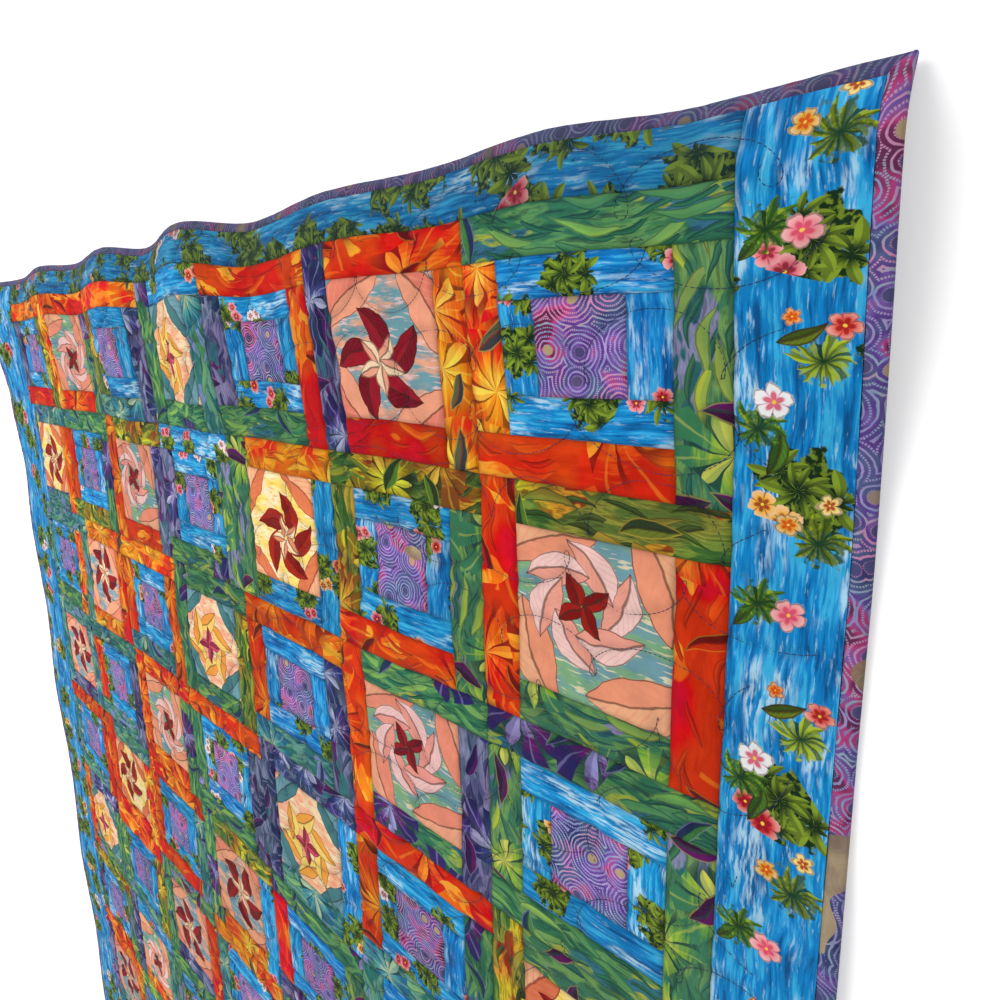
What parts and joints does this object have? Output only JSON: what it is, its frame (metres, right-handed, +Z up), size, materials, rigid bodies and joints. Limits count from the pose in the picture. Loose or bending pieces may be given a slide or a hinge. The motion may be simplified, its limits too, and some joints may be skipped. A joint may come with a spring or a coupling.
{
  "type": "patchwork quilt",
  "caption": "Patchwork quilt laid out flat: pieced and quilted centre, blue border strips and folded binding, with soft ripples along the head edge.",
  "frame": {"origin": "bottom centre of the quilt's box, on the surface that it lies on", "axes": "+Y along the quilt towards its head edge, +X across it, +Z up out of its face"},
  "size_m": [1.659, 2.0116, 0.0337],
  "materials": {
    "patchwork_cotton": "printed plain-weave cotton, quilted, matte",
    "blue_border_cotton": "printed plain-weave cotton, quilted, matte",
    "binding_cotton": "hand-dyed plain-weave cotton, matte"
  },
  "bodies": {
    "root": {"pieced_centre": "patchwork_cotton", "border_head": "blue_border_cotton", "border_foot": "blue_border_cotton", "border_left": "blue_border_cotton", "border_right": "blue_border_cotton", "binding_head": "binding_cotton", "binding_foot": "binding_cotton", "binding_left": "binding_cotton", "binding_right": "binding_cotton"}
  },
  "joints": []
}
